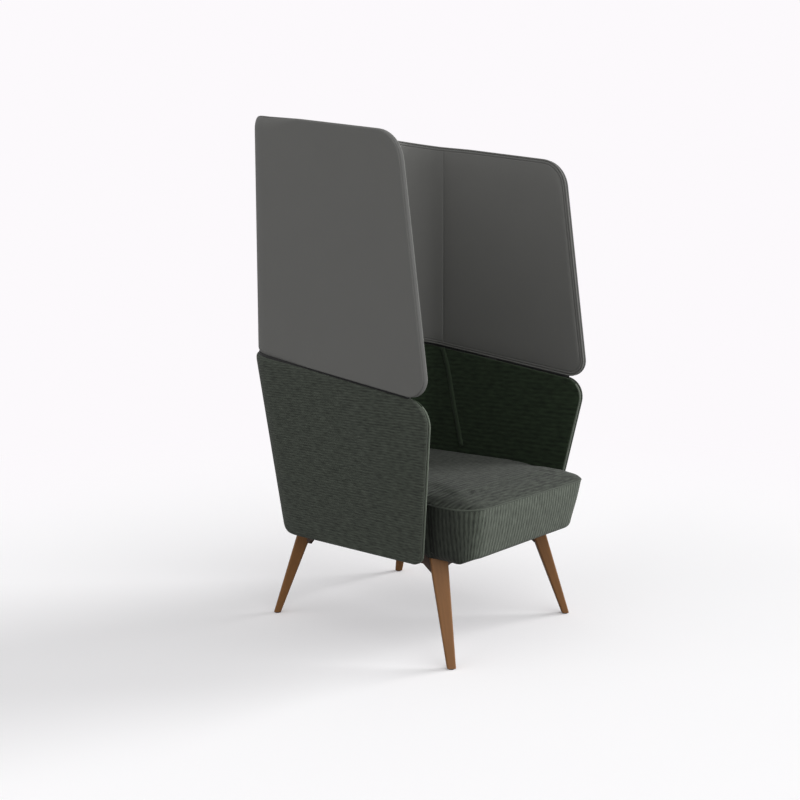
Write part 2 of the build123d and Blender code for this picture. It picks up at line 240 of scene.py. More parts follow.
@dataclass(frozen=True)
class RibbedCloth:
    """An upholstery cloth with fine ribs and uneven yarns along them, read from the weave's map.

    Its side shade is painted shade, for sides that lie in shade: the share that its colour falls to between
    two distances across the ribs, on both sides of the map's middle: start, end and share.
    """

    name: str
    colour: Colour
    rib_pitch: float = 0.0068
    rib_height: float = 0.0008
    yarn_width: float = 0.0045
    yarn_length: float = 0.022
    contrast: float = 0.6
    evenness: float = 0.25
    nap: Triple = (1.0, 2.0, 1.0)
    wander: float = 1.0
    patchiness: float = 0.2
    hairiness: float = 0.4
    roughness: float = 0.9
    sheen: float = 0.06

    def build(self) -> Material:
        """Makes the material.

        Returns:
            The finished material.
        """
        nodes = Surface(self.name)
        weave = nodes.add("ShaderNodeUVMap", uv_map=WEAVE).outputs["UV"]
        # one band of the wave texture is two pi over twenty units wide at a scale of one
        scale = math.tau / 20 / self.rib_pitch
        waves = {"Vector": weave, "Scale": scale, "Distortion": self.wander, "Detail Scale": 0.4}
        ribs = nodes.add("ShaderNodeTexWave", waves, bands_direction="X").outputs["Fac"]
        yarns = self._marks(nodes, weave, self.yarn_width, self.yarn_length)
        patches = self._marks(nodes, weave, self.yarn_length, self.yarn_length * 2)
        hairs = self._marks(nodes, weave, self.rib_pitch / 3, self.rib_pitch / 2)
        # painted shade: the ribs darken the colour in the grooves between them, where the bump is low; the
        # yarns and patches are the cloth's own uneven tone
        light = nodes.blend(ribs, nodes.blend(yarns, patches, self.patchiness), 1 - self.evenness)
        colour = self._napped(nodes, weave, nodes.tint(light, self.colour, self.contrast))
        nodes.cloth(colour, self.roughness, self.sheen)
        nodes.bump(nodes.blend(ribs, hairs, self.hairiness), self.rib_height, strength=0.8)
        return nodes.material

    def _napped(self, nodes: Surface, weave: Socket, colour: Socket) -> Socket:
        """Paints shade on the sides: lets a colour fall off across the ribs.

        Args:
            nodes: the material's nodes.
            weave: the map's socket.
            colour: the colour's socket.

        Returns:
            The fallen colour's socket.
        """
        start, end, share = self.nap
        across = nodes.maths("ABSOLUTE", nodes.add("ShaderNodeSeparateXYZ", {0: weave}).outputs["X"])
        limits = {"Value": across, "From Min": start, "From Max": end, "To Min": 1.0, "To Max": share}
        fall = nodes.add("ShaderNodeMapRange", limits, interpolation_type="SMOOTHSTEP").outputs["Result"]
        product = nodes.add("ShaderNodeVectorMath", {0: colour, 1: fall}, operation="MULTIPLY")
        return product.outputs["Vector"]

    @staticmethod
    def _marks(nodes: Surface, weave: Socket, across: float, along: float) -> Socket:
        """Adds marks drawn out along the ribs, stretched to fill zero to one.

        Args:
            nodes: the material's nodes.
            weave: the map's socket.
            across: the size of a mark across the ribs.
            along: its size along them.

        Returns:
            The marks' socket.
        """
        noise = nodes.noise(weave, (1 / across, 1 / along, 1), detail=2.0)
        full = nodes.add("ShaderNodeMapRange", {"Value": noise, "From Min": 0.3, "From Max": 0.7})
        return full.outputs["Result"]


@dataclass(frozen=True)
class PlainCloth:
    """A fine plain-woven cloth, such as the screen's, the pipings' or the underside's."""

    name: str
    colour: Colour
    thread: float = 0.0012
    contrast: float = 0.06
    roughness: float = 0.9
    sheen: float = 0.1

    def build(self) -> Material:
        """Makes the material.

        Returns:
            The finished material.
        """
        nodes = Surface(self.name)
        place = nodes.place()
        fine = {"Vector": place, "Scale": 1 / self.thread, "Detail": 1.0}
        broad = {"Vector": place, "Scale": 9.0, "Detail": 3.0}
        threads, clouds = (nodes.add("ShaderNodeTexNoise", kind).outputs["Fac"] for kind in (fine, broad))
        colour = nodes.tint(nodes.blend(threads, clouds, 0.5), self.colour, self.contrast)
        nodes.cloth(colour, self.roughness, self.sheen)
        nodes.bump(threads, distance=0.0003, strength=0.6)
        return nodes.material


@dataclass(frozen=True)
class Timber:
    """Stained timber whose grain runs along a direction of the chair."""

    name: str
    colour: Colour
    grain: Triple = (0.0, 0.0, 1.0)
    contrast: float = 0.35
    roughness: float = 0.5
    pore_share: float = 0.35

    def build(self) -> Material:
        """Makes the material.

        Returns:
            The finished material.
        """
        nodes = Surface(self.name)
        turn = Vector(self.grain).rotation_difference(Vector((0, 0, 1))).to_euler()
        turned = nodes.add("ShaderNodeMapping", {"Vector": nodes.place(), "Rotation": turn})
        turned = turned.outputs["Vector"]
        pores = self._streaks(nodes, turned, across=0.0009, along=0.03)
        bands = self._streaks(nodes, turned, across=0.006, along=0.16)
        colour = nodes.tint(nodes.blend(bands, pores, self.pore_share), self.colour, self.contrast)
        nodes.coat(colour, {"Roughness": self.roughness, "Specular IOR Level": 0.3})
        nodes.bump(pores, distance=0.0002, strength=0.5)
        return nodes.material

    @staticmethod
    def _streaks(nodes: Surface, place: Socket, across: float, along: float) -> Socket:
        """Adds noise drawn out along the grain, by its size across the grain and along it."""
        return nodes.noise(place, (1 / across, 1 / across, 1 / along), detail=4.0, distortion=0.6)


@dataclass(frozen=True)
class Plain:
    """A plain hard finish, such as moulded plastic, coated steel or plated screws."""

    name: str
    colour: Colour
    roughness: float
    metallic: float = 0.0

    def build(self) -> Material:
        """Makes the material.

        Returns:
            The finished material.
        """
        nodes = Surface(self.name)
        grains = {"Vector": nodes.place(), "Scale": 400.0, "Detail": 2.0}
        specks = nodes.add("ShaderNodeTexNoise", grains).outputs["Fac"]
        colour = nodes.tint(specks, self.colour, contrast=0.08)
        nodes.coat(colour, {"Roughness": self.roughness, "Metallic": self.metallic})
        return nodes.material


@dataclass(frozen=True)
class Finishes:
    """Every finish of the chair, built once."""

    tub_cloth: Material
    seat_cloth: Material
    band_cloth: Material
    inner_cloth: Material
    piping: Material
    bright_piping: Material
    welt: Material
    screen_cloth: Material
    screen_lining: Material
    screen_edge: Material
    screen_piping: Material
    dust_cloth: Material
    plywood: Material
    plastic: Material
    steel: Material
    plated: Material

    @classmethod
    def build(cls) -> "Finishes":
        """Makes the chair's finishes.

        Returns:
            The finishes.
        """
        green, grey = (0.0495, 0.0570, 0.0455), (0.131, 0.131, 0.125)
        top = dict(rib_height=0.0012, yarn_width=0.009, yarn_length=0.028, contrast=0.8, evenness=0.15)
        band = dict(rib_height=0.0012, yarn_width=0.004, yarn_length=0.02, contrast=0.75, evenness=0.42)
        inner = dict(rib_height=0.0008, yarn_width=0.008, yarn_length=0.03)
        # painted shade: the band falls to a third of its colour round the nose's corners and along its
        # sides, which lie in the shade of the tub's wings
        nap = (0.215, 0.315, 0.33)
        return cls(
            tub_cloth=RibbedCloth("ribbed cloth", green).build(),
            # painted shade: the seat's top is a darker copy of the tub's cloth, for the shade that the
            # walls round it cast
            seat_cloth=RibbedCloth("seat cloth", shaded(green, 0.69), 0.0136, **top).build(),
            # painted light: the band is a lighter copy of the same cloth, for the light on its front
            band_cloth=RibbedCloth("band cloth", shaded(green, 1.62), 0.0120, nap=nap, **band).build(),
            # painted shade: the tub's inside is a darker copy of the same cloth, for its shade
            inner_cloth=RibbedCloth("inner cloth", (0.0165, 0.0270, 0.0138), 0.0136, **inner).build(),
            # painted highlight: the cords are a lighter copy of the tub's cloth, for the light they catch
            piping=PlainCloth("piping cloth", shaded(green, 1.3), contrast=0.2).build(),
            # painted highlight: the inner rim cord is a much lighter copy, for the bright line along the
            # front edges
            bright_piping=PlainCloth("bright piping cloth", shaded(green, 2.6), contrast=0.2).build(),
            # painted shade: the welts, and the inner cord under the joint, are a darker copy of the tub's
            # cloth
            welt=PlainCloth("welt cloth", (0.028, 0.042, 0.024), contrast=0.2).build(),
            screen_cloth=PlainCloth("screen cloth", grey).build(),
            # painted light: the screen's inside is a lighter copy of its cloth
            screen_lining=PlainCloth("screen lining", shaded(grey, 1.12)).build(),
            # painted shade: the screen's cloth is darker where it rolls over the rim
            screen_edge=PlainCloth("screen edge", shaded(grey, 0.52)).build(),
            # painted highlight: the screen's cord is a lighter copy of its cloth
            screen_piping=PlainCloth("screen piping", shaded(grey, 1.3), sheen=0.2).build(),
            dust_cloth=PlainCloth("dust cloth", (0.02, 0.02, 0.02)).build(),
            # painted shade: the deck's plywood is made dark for the shade under the cushion
            plywood=Timber("stained plywood", (0.045, 0.032, 0.024), (0, 1, 0)).build(),
            plastic=Plain("glide plastic", (0.02, 0.02, 0.02), 0.5).build(),
            steel=Plain("coated steel", (0.02, 0.02, 0.02), 0.45).build(),
            plated=Plain("plated steel", (0.55, 0.55, 0.55), 0.3, 1.0).build(),
        )


# ---- Making pieces ---------------------------------------------------------------------------


def link(name: str, data: bpy.types.ID) -> bpy.types.Object:
    """Adds an object to the scene.

    Args:
        name: the object's name.
        data: its mesh, light or camera.

    Returns:
        The new object.
    """
    thing = bpy.data.objects.new(name, data)
    bpy.context.scene.collection.objects.link(thing)
    return thing


def store(bm: bmesh.types.BMesh, name: str) -> bpy.types.Mesh:
    """Stores an edited mesh and frees it.

    Args:
        bm: the edited mesh.
        name: the stored mesh's name.

    Returns:
        The stored mesh.
    """
    mesh = bpy.data.meshes.new(name)
    bm.to_mesh(mesh)
    bm.free()
    return mesh


def make_piece(
    bm: bmesh.types.BMesh,
    name: str,
    slot: Slot,
    materials: Sequence[Material],
    stands_for: Sequence[str] = (),
) -> None:
    """Turns an edited mesh into a finished piece of the chair.

    Args:
        bm: the piece's mesh, which is freed.
        name: the piece's name.
        slot: the record's slot; not used.
        materials: its materials, in the order of its faces' numbers.
        stands_for: the CAD nodes that it replaces.
    """
    mesh = store(bm, name)
    mesh.polygons.foreach_set("use_smooth", [True] * len(mesh.polygons))
    for material in materials:
        mesh.materials.append(material)
    piece = link(name, mesh)
    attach(piece, BODY)
    if stands_for:
        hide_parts(*stands_for)
    log.info("%s: %d faces", name, len(mesh.polygons))


def thicken(bm: bmesh.types.BMesh, thickness: float) -> None:
    """Makes a sheet a closed shell whose faces point outwards.

    Args:
        bm: the sheet.
        thickness: the shell's thickness.
    """
    bmesh.ops.recalc_face_normals(bm, faces=bm.faces)
    bmesh.ops.solidify(bm, geom=bm.faces[:], thickness=thickness)
    bmesh.ops.recalc_face_normals(bm, faces=bm.faces)


def lay_weave(bm: bmesh.types.BMesh, place: Callable[[Face, Vector], Pair]) -> None:
    """Maps the cloth: first across the ribs, then along them, in metres.

    Args:
        bm: the piece's mesh.
        place: gives a face's corner its place on the cloth.
    """
    layer = bm.loops.layers.uv.new(WEAVE)
    for face in bm.faces:
        for loop in face.loops:
            loop[layer].uv = place(face, loop.vert.co)


def way_round(x: float, beyond: Vector, straight: float, radius: float) -> float:
    """How far round a plan with rounded corners a place lies, from the middle of its end.

    Args:
        x: how far sideways the place lies.
        beyond: how far it lies sideways and endwards of the middle of the corner.
        straight: how far sideways the middle of the corner lies.
        radius: the corner's radius.

    Returns:
        The way round, with the sign of x.
    """
    if beyond.y <= 0:
        path = straight + radius * math.pi / 2 - beyond.y
    elif beyond.x <= 0:
        path = abs(x)
    else:
        path = straight + radius * math.atan2(beyond.x, beyond.y)
    return math.copysign(path, x)


@dataclass(frozen=True)
class Piping:
    """A round cord sewn into a seam."""

    radius: float
    sides: int = 8

    def build(self, path: Sequence[Vector], closed: bool) -> bmesh.types.BMesh:
        """Rings along a path, bridged to a tube.

        Args:
            path: the cord's middle.
            closed: whether its end meets its start.

        Returns:
            The tube.
        """
        bm = bmesh.new()
        rings = []
        count = len(path)
        for place, point in enumerate(path):
            before = path[place - 1] if closed or place else point
            after = path[(place + 1) % count] if closed or place + 1 < count else point
            turn = (after - before).to_track_quat("Z", "Y").to_matrix().to_4x4()
            matrix = Matrix.Translation(point) @ turn
            made = bmesh.ops.create_circle(bm, segments=self.sides, radius=self.radius, matrix=matrix)
            rings.append(list({edge for vert in made["verts"] for edge in vert.link_edges}))
        pairs = list(zip(rings, rings[1:]))
        if closed:
            pairs.append((rings[-1], rings[0]))
        for first, second in pairs:
            bmesh.ops.bridge_loops(bm, edges=first + second)
        if not closed:
            bmesh.ops.holes_fill(bm, edges=rings[0] + rings[-1])
        bmesh.ops.recalc_face_normals(bm, faces=bm.faces)
        return bm


# ---- Walls -----------------------------------------------------------------------------------


@dataclass(frozen=True)
class Edge:
    """A straight edge seen from the side, given by a point on it and which way it faces.

    The turn is the outward normal's angle in degrees: 0 faces the front and 90 faces up.
    """

    depth: float
    height: float
    turn: float

    @property
    def normal(self) -> Vector:
        """The outward normal in the side view."""
        return facing(self.turn)

    @property
    def reach(self) -> float:
        """The edge's distance from the side view's origin, along its normal."""
        return self.normal.dot(Vector((self.depth, self.height)))


def facing(turn: float) -> Vector:
    """A unit vector in the side view, at an angle in degrees from the front."""
    return Vector((-math.cos(math.radians(turn)), math.sin(math.radians(turn))))


def meeting(first: Vector, first_reach: float, second: Vector, second_reach: float) -> Vector:
    """Where two lines of the side view cross.

    Args:
        first: the first line's normal.
        first_reach: its distance from the origin along that normal.
        second: the second line's normal.
        second_reach: its distance.

    Returns:
        The crossing.
    """
    area = first.x * second.y - first.y * second.x
    depth = (first_reach * second.y - second_reach * first.y) / area
    height = (first.x * second_reach - second.x * first_reach) / area
    return Vector((depth, height))


@dataclass(frozen=True)
class Wall:
    """A U-shaped wall: its plan at a base height, its flare, and its outline seen from the side.

    A place on it is a column, counted from the left front edge round the back to the right one,
    and a rise from zero at its lower edge to one at its top edge. The border columns are those in
    front of a rear corner over which the sides' border becomes the back's.
    """

    half_width: float
    back: float
    base: float
    side_flare: float
    back_flare: float
    corner: float
    thickness: float
    front: Edge
    low: Edge
    top: Edge
    low_radius: float
    top_radius: float
    splay: float = 0.0
    curve_columns: int = 10
    side_columns: int = 20
    corner_columns: int = 12
    back_columns: int = 8
    border_columns: int = 6

    @property
    def side_end(self) -> int:
        """The column where the left side meets the rear corner."""
        return self.curve_columns + self.side_columns

    @property
    def middle(self) -> int:
        """The column at the middle of the back."""
        return self.side_end + self.corner_columns + self.back_columns

    def stations(self, seams: Sequence[float] = ()) -> tuple[float, ...]:
        """Every whole column, with closer ones beside each seam.

        Args:
            seams: the columns of the seams.

        Returns:
            The columns, in order.
        """
        beside = (-0.3, -0.14, -0.06, 0.0, 0.06, 0.14, 0.3)
        clear = 0.4
        close = {seam + step for seam in seams for step in beside}
        whole = range(2 * self.middle + 1)
        return tuple(sorted(close | {c for c in whole if all(abs(c - seam) > clear for seam in seams)}))

    def front_share(self, column: float) -> float:
        """How far a column is past the front edge's curve, from zero at the edge to one."""
        return min(1.0, min(column, 2 * self.middle - column) / self.curve_columns)

    def rear_share(self, column: float) -> float:
        """How far a column has come to the rear corners, which share their borders with the back."""
        past = min(column, 2 * self.middle - column) - self.side_end
        return min(1.0, max(0.0, past / self.border_columns + 1))

    def width_at(self, height: float) -> float:
        """The outer half width at a height."""
        return self.half_width + (height - self.base) * math.tan(math.radians(self.side_flare))

    def back_at(self, height: float) -> float:
        """The outer back face's place at a height."""
        return self.back + (height - self.base) * math.tan(math.radians(self.back_flare))

    def _rim(self, edge: Edge, radius: float, step: float, inset: float) -> Vector:
        """A point of the side's lower or upper edge, in the side view.

        Args:
            edge: the lower or the top edge.
            radius: the radius where it meets the front edge.
            step: columns from the front.
            inset: how far the outline is drawn in.

        Returns:
            Its depth position and height.
        """
        front = self.front.normal
        centre = meeting(front, self.front.reach - radius, edge.normal, edge.reach - radius)
        if step <= self.curve_columns:
            turn = self.front.turn + (edge.turn - self.front.turn) * step / self.curve_columns
            return centre + (radius - inset) * facing(turn)
        start = centre + (radius - inset) * edge.normal
        rate = math.tan(math.radians(self.back_flare))
        corner_line = self.back - self.base * rate - self.corner
        end = meeting(edge.normal, edge.reach - inset, Vector((1, -rate)), corner_line)
        return start.lerp(end, (step - self.curve_columns) / self.side_columns)

    def _height(self, edge: Edge, reach: float, inset: float) -> float:
        """The height of an edge round the corner or along the back.

        Args:
            edge: the lower or the top edge.
            reach: how far the point stands behind the outer back face.
            inset: how far the outline is drawn in.

        Returns:
            The height.
        """
        rate = math.tan(math.radians(self.back_flare))
        normal = edge.normal
        level = self.back - rate * self.base + reach
        return (edge.reach - inset - normal.x * level) / (normal.x * rate + normal.y)

    def point(self, column: float, rise: float, depth: float, inset: float) -> Vector:
        """A point of the wall.

        Args:
            column: its column from the left front.
            rise: its rise between the lower and the top edge.
            depth: how far inside the outer face it lies.
            inset: how far the outline is drawn in.

        Returns:
            The point.
        """
        half = min(column, 2 * self.middle - column)
        side = 1 if column < self.middle else -1
        if half <= self.side_end:
            low = self._rim(self.low, self.low_radius, half, inset)
            place = low.lerp(self._rim(self.top, self.top_radius, half, inset), rise)
            splayed = self.width_at(place.y) + self.splay * (1 - half / self.side_end)
            return Vector((side * (splayed - depth), place.x, place.y))
        turn = min(1.0, (half - self.side_end) / self.corner_columns) * math.pi / 2
        share = 1 - max(0.0, half - self.side_end - self.corner_columns) / self.back_columns
        reach = (self.corner - depth) * math.sin(turn) - self.corner
        low_height = self._height(self.low, reach, inset)
        height = low_height + (self._height(self.top, reach, inset) - low_height) * rise
        across = self.width_at(height) - self.corner + (self.corner - depth) * math.cos(turn)
        return Vector((side * share * across, self.back_at(height) + reach, height))

    def weave_at(self, _face: Face, place: Vector) -> Pair:
        """Where a point lies on the wall's cloth, whose ribs run level round it.

        Args:
            _face: the point's face, which makes no difference here.
            place: the point.

        Returns:
            Its height and its way round from the middle of the back.
        """
        straight = self.width_at(place.z) - self.corner
        beyond = Vector((abs(place.x) - straight, place.y - self.back_at(place.z) + self.corner))
        return (place.z, way_round(place.x, beyond, straight, self.corner))

    def rim_path(
        self, depth: float, inset: float, rows: int, rear_drop: float = 0.0, side_drop: float = 0.0
    ) -> list[Vector]:
        """A closed line all round the wall's outline.

        Args:
            depth: how far inside the outer face it runs.
            inset: how far inside the outline it runs.
            rows: steps up each front edge.
            rear_drop: how much lower it runs round the back's top edge.
            side_drop: how much lower it runs along the sides' top edges.

        Returns:
            Its points.
        """
        last = 2 * self.middle
        risers = [step / rows for step in range(1, rows)]
        path = [self.point(column, 0, depth, inset) for column in range(last + 1)]
        path += [self.point(last, rise, depth, inset) for rise in risers]
        for column in range(last, -1, -1):
            drop = rear_drop * self.rear_share(column) + side_drop * self.front_share(column)
            path.append(self.point(column, 1, depth, inset + drop))
        path += [self.point(0, rise, depth, inset) for rise in reversed(risers)]
        return path


@dataclass(frozen=True)
class Covering:
    """A sheet of upholstery over a wall, with its border rolled over the wall's rim.

    The border gives, for a column and a rise, the depths and insets that the cloth passes from the
    sheet's own edge to its end on the rim. From the edge step on, it takes the second material.
    """

    wall: Wall
    border: Callable[[float, float], Sequence[Pair]]
    cloth: float
    seams: tuple[float, ...] = ()
    rows: int = 22
    edge_step: float = math.inf

    def build(self, depth: Callable[[float, float], float]) -> bmesh.types.BMesh:
        """The sheet, made a closed thin shell.

        Args:
            depth: gives the sheet's depth at a column and a rise.

        Returns:
            The shell.
        """
        wall = self.wall
        stations = wall.stations(self.seams)
        count = len(stations) - 1
        bm = bmesh.new()
        column_of = bm.verts.layers.float.new("column")
        rise_of = bm.verts.layers.float.new("rise")
        bmesh.ops.create_grid(bm, x_segments=count, y_segments=self.rows, size=0.5)
        for vert in bm.verts:
            vert[column_of] = stations[round((vert.co.x + 0.5) * count)]
            vert[rise_of] = 0.5 - 0.5 * math.cos(math.pi * (vert.co.y + 0.5))
            column, rise = vert[column_of], vert[rise_of]
            vert.co = wall.point(column, rise, depth(column, rise), self.border(column, rise)[0][1])
        edges = [edge for edge in bm.edges if edge.is_boundary]
        for step in range(1, len(self.border(0, 0))):
            made = bmesh.ops.extrude_edge_only(bm, edges=edges)["geom"]
            edges = [part for part in made if isinstance(part, bmesh.types.BMEdge) and part.is_boundary]
            for face in (part for part in made if isinstance(part, bmesh.types.BMFace)):
                face.material_index = int(step >= self.edge_step)
            for vert in (part for part in made if isinstance(part, bmesh.types.BMVert)):
                column, rise = vert[column_of], vert[rise_of]
                vert.co = wall.point(column, rise, *self.border(column, rise)[step])
        thicken(bm, self.cloth)
        lay_weave(bm, wall.weave_at)
        return bm


@dataclass(frozen=True)
class Roll:
    """A border that turns over the rim in a quarter round: tight in front, fuller round the back.

    Each size is a depth and an inset: at the wall's front edges, then along the lower and the top edge
    at its sides and round its back.
    """

    wall: Wall
    front: Pair
    side_low: Pair
    side_top: Pair
    rear_low: Pair
    rear_top: Pair
    end_depth: float
    rear_drop: float
    end_inset: float = 0.002
    end_step: float = 0.0004
    rounds: int = 7

    def __call__(self, column: float, rise: float) -> list[Pair]:
        """The depths and insets from the outer face to under the rim's cord.

        Args:
            column: where round the wall.
            rise: where between its lower and its top edge.

        Returns:
            The depths and insets, in order.
        """
        side = Vector(self.side_low).lerp(Vector(self.side_top), rise)
        rear = Vector(self.rear_low).lerp(Vector(self.rear_top), rise)
        along = Vector(self.front).lerp(side, self.wall.front_share(column))
        size = along.lerp(rear, self.wall.rear_share(column))
        drop = self.rear_drop * self.wall.rear_share(column) * rise
        turns = [math.pi / 2 * step / self.rounds for step in range(self.rounds + 1)]
        path = [(size.x * (1 - math.cos(t)), drop + size.y * (1 - math.sin(t))) for t in turns]
        return path + [(self.end_depth, drop), (self.end_depth + self.end_step, drop + self.end_inset)]


# ---- Tub -------------------------------------------------------------------------------------

JOINT_SLOPE = 8.6
JOINT_HEIGHT = 0.7192
JOINT_GAP = 0.005


@dataclass(frozen=True)
class Tub:
    """The lower, flaring wall: outer cover, edge band between two pipings, and padded inside.

    What is proud stands that far out of the wall's outline.
    """

    finishes: Finishes
    wall: Wall = Wall(
        half_width=0.3108,
        back=0.3301,
        base=0.2595,
        side_flare=7.73,
        back_flare=3.75,
        corner=0.118,
        thickness=0.020,
        front=Edge(-0.2318, 0.2595, -9.45),
        low=Edge(0.0, 0.2572, -90.0),
        top=Edge(0.0, JOINT_HEIGHT - JOINT_GAP, 90.0 - JOINT_SLOPE),
        low_radius=0.030,
        top_radius=0.060,
        splay=0.004,
    )
    cover: float = 0.0016
    roll_depth: float = 0.0065
    roll_insets: tuple[float, ...] = (0.003, 0.005, 0.004, 0.024, 0.018)
    roll_end: float = 0.0008
    rear_drop: float = 0.003
    inner_drop: float = 0.003
    rim_rows: int = 16
    outer_cord: float = 0.0021
    outer_cord_step: float = 0.0006
    outer_cord_proud: float = 0.0012
    inner_cord: float = 0.0029
    inner_cord_gap: float = 0.0008
    inner_cord_proud: float = 0.0016
    shaded_depth: float = 0.020
    groove: float = 0.0025
    inner_inset: float = 0.0045
    inner_roll: Pair = (0.004, 0.0015)
    inner_turns: tuple[float, ...] = (0.0, 0.5, 1.0, 1.5)
    puff: float = 0.003
    puff_start: float = 0.35
    puff_reach: float = 0.3
    puff_columns: int = 6
    welt_radius: float = 0.0078
    welt_flatness: float = 0.27
    welt_lift: float = 0.7
    welt_sides: int = 12
    welt_steps: int = 6
    welt_line: tuple[Pair, ...] = (
        (0.2225, 0.7430), (0.2145, 0.7264), (0.1934, 0.6803),
        (0.161, 0.5768), (0.1277, 0.4827), (0.110, 0.432),
    )

    @property
    def inner_cord_depth(self) -> float:
        """How deep in the wall the inner cord's middle lies."""
        return self.wall.thickness - self.inner_cord - self.inner_cord_gap

    def build(self) -> None:
        """Makes and dresses the tub's pieces."""
        sizes = [(self.roll_depth, inset) for inset in self.roll_insets]
        roll = Roll(self.wall, *sizes, self.roll_depth + self.roll_end, self.rear_drop)
        bm = Covering(self.wall, roll, self.cover).build(lambda column, rise: 0.0)
        replaced = ["tub_outer_cover", "tub_core"]
        make_piece(bm, "tub_outer", Slot.TUB_CLOTH, [self.finishes.tub_cloth], replaced)
        self._cords()
        self._groove()
        self._inner()
        self._welts()

    def _cords(self) -> None:
        """Makes the two cords along the rim: a thin outer one and an inner one with a painted highlight,
        painted dark as shade just under the joint.
        """
        depth, inset = self.roll_depth + self.outer_cord_step, self.outer_cord - self.outer_cord_proud
        path = self.wall.rim_path(depth, inset, self.rim_rows, self.rear_drop)
        bm = Piping(self.outer_cord).build(path, True)
        # painted highlight: the outer cord takes the lighter piping cloth
        make_piece(bm, "tub_cord_outer", Slot.TUB_CLOTH, [self.finishes.piping])
        depth, inset = self.inner_cord_depth, self.inner_cord - self.inner_cord_proud
        path = self.wall.rim_path(depth, inset, self.rim_rows, self.rear_drop, self.inner_drop)
        bm = Piping(self.inner_cord).build(path, True)
        # painted shade: the inner cord's faces just under the joint take the dark welt cloth; the rest take
        # the painted highlight cloth
        for face in bm.faces:
            place = face.calc_center_median()
            below_top = JOINT_HEIGHT + place.y * math.tan(math.radians(JOINT_SLOPE)) - place.z
            face.material_index = int(below_top < self.shaded_depth)
        make_piece(bm, "tub_cord_inner", Slot.TUB_CLOTH, [self.finishes.bright_piping, self.finishes.welt])

    def _groove(self) -> None:
        """Makes the narrow band sunk between the cords."""
        bm = bmesh.new()
        edges = []
        for depth in (self.roll_depth, self.inner_cord_depth):
            path = self.wall.rim_path(depth, self.groove, self.rim_rows, self.rear_drop)
            verts = [bmesh.ops.create_vert(bm, co=point)["vert"][0] for point in path]
            edges += [bm.edges.new(pair) for pair in zip(verts, verts[1:] + verts[:1])]
        bmesh.ops.bridge_loops(bm, edges=edges)
        thicken(bm, self.cover)
        lay_weave(bm, self.wall.weave_at)
        make_piece(bm, "tub_edge", Slot.TUB_CLOTH, [self.finishes.tub_cloth], ["tub_edge_band"])

    def _inner(self) -> None:
        """Makes the padded inside."""
        wall = self.wall
        deep, high = self.inner_roll
        roll = [
            (wall.thickness - deep * (1 - math.cos(turn)), self.inner_inset - high * math.sin(turn))
            for turn in self.inner_turns
        ]

        def padded_depth(column: float, rise: float) -> float:
            """Swells the pad between its borders, above the seat.

            Args:
                column: where round the wall.
                rise: where between its lower and its top edge.

            Returns:
                The pad's depth.
            """
            above = min(1.0, max(0.0, (rise - self.puff_start) / self.puff_reach))
            end = min(1.0, min(column, 2 * wall.middle - column) / self.puff_columns)
            return wall.thickness + self.puff * above * end * math.sin(math.pi * rise)

        bm = Covering(wall, lambda column, rise: roll, self.cover).build(padded_depth)
        # painted shade: the inside takes the darker copy of the tub's cloth
        cloths = [self.finishes.inner_cloth]
        make_piece(bm, "tub_inner", Slot.TUB_CLOTH, cloths, ["tub_inner_pad"])

    def _welts(self) -> None:
        """Makes the flat raised seam that leans forward down each side of the inside."""
        for side, name in ((1, "left"), (-1, "right")):
            path = []
            for start, end in zip(self.welt_line, self.welt_line[1:]):
                for step in range(self.welt_steps):
                    y, z = Vector(start).lerp(Vector(end), step / self.welt_steps)
                    path.append(Vector((side * self._pad_at(z), y, z)))
            bm = Piping(self.welt_radius, self.welt_sides).build(path, False)
            for vert in bm.verts:
                middle = side * self._pad_at(vert.co.z)
                vert.co.x = middle + (vert.co.x - middle) * self.welt_flatness
            bmesh.ops.recalc_face_normals(bm, faces=bm.faces)
            # painted shade: the welts take the darker copy of the tub's cloth
            make_piece(bm, f"tub_welt_{name}", Slot.TUB_CLOTH, [self.finishes.welt])

    def _pad_at(self, height: float) -> float:
        """The padded inside's half width at a height, where a welt lies on its swell."""
        return self.wall.width_at(height) - self.wall.thickness - self.puff * self.welt_lift


# ---- Screen ----------------------------------------------------------------------------------


